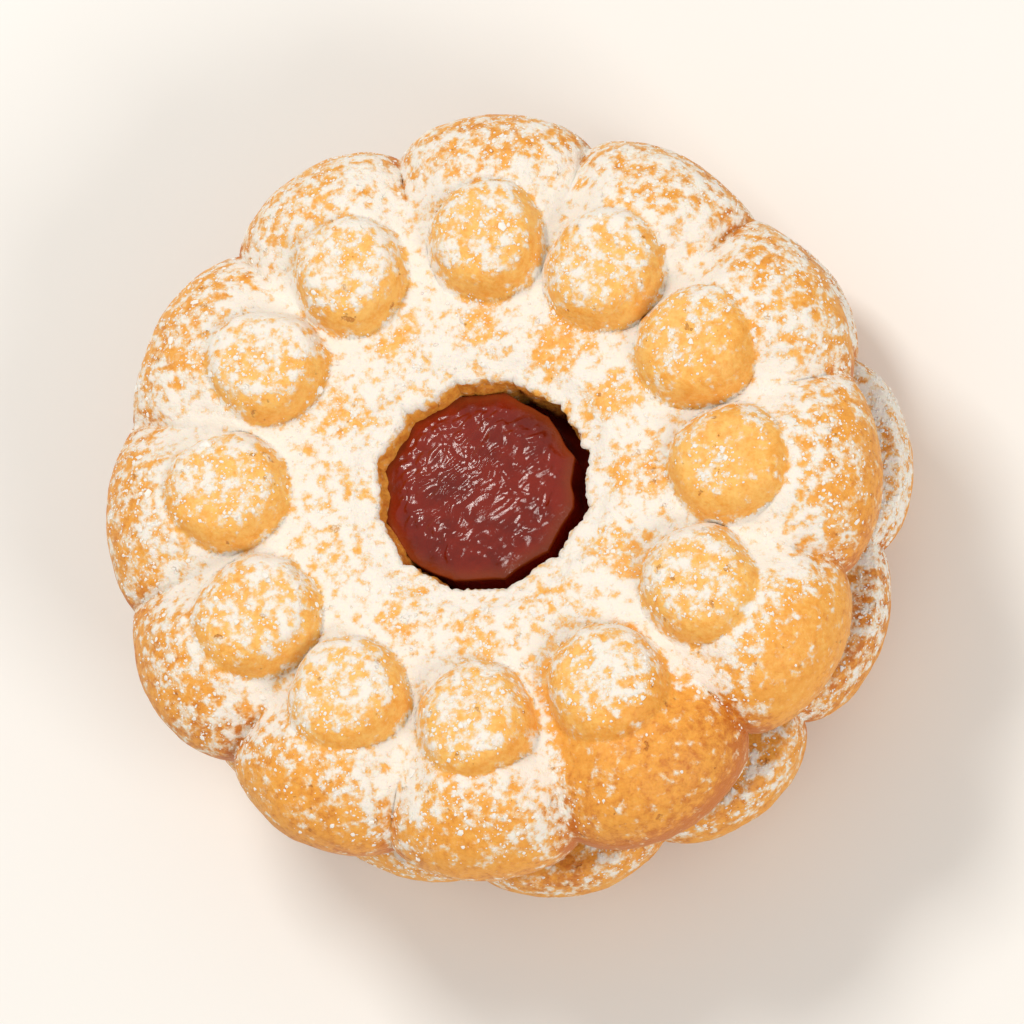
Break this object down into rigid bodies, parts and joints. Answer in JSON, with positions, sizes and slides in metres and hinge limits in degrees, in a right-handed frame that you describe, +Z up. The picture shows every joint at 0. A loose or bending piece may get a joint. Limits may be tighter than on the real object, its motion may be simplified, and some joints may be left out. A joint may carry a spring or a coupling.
{
  "type": "linzer cookie",
  "caption": "Round jam sandwich cookie: petal-edged shortbread with raised buttons, powdered sugar and a window of red jam.",
  "frame": {"origin": "middle of the base, on the surface that the cookie lies on", "axes": "+Z up through the window, +X and +Y across the cookie"},
  "size_m": [0.0702, 0.0716, 0.0326],
  "materials": {
    "shortbread": "baked butter dough, golden, dusted with powdered sugar",
    "jam": "set fruit jam, red-brown, glossy in the window and satin at the side"
  },
  "bodies": {
    "root": {"upper_biscuit": "shortbread", "jam_filling": "jam", "lower_biscuit": "shortbread"}
  },
  "joints": []
}
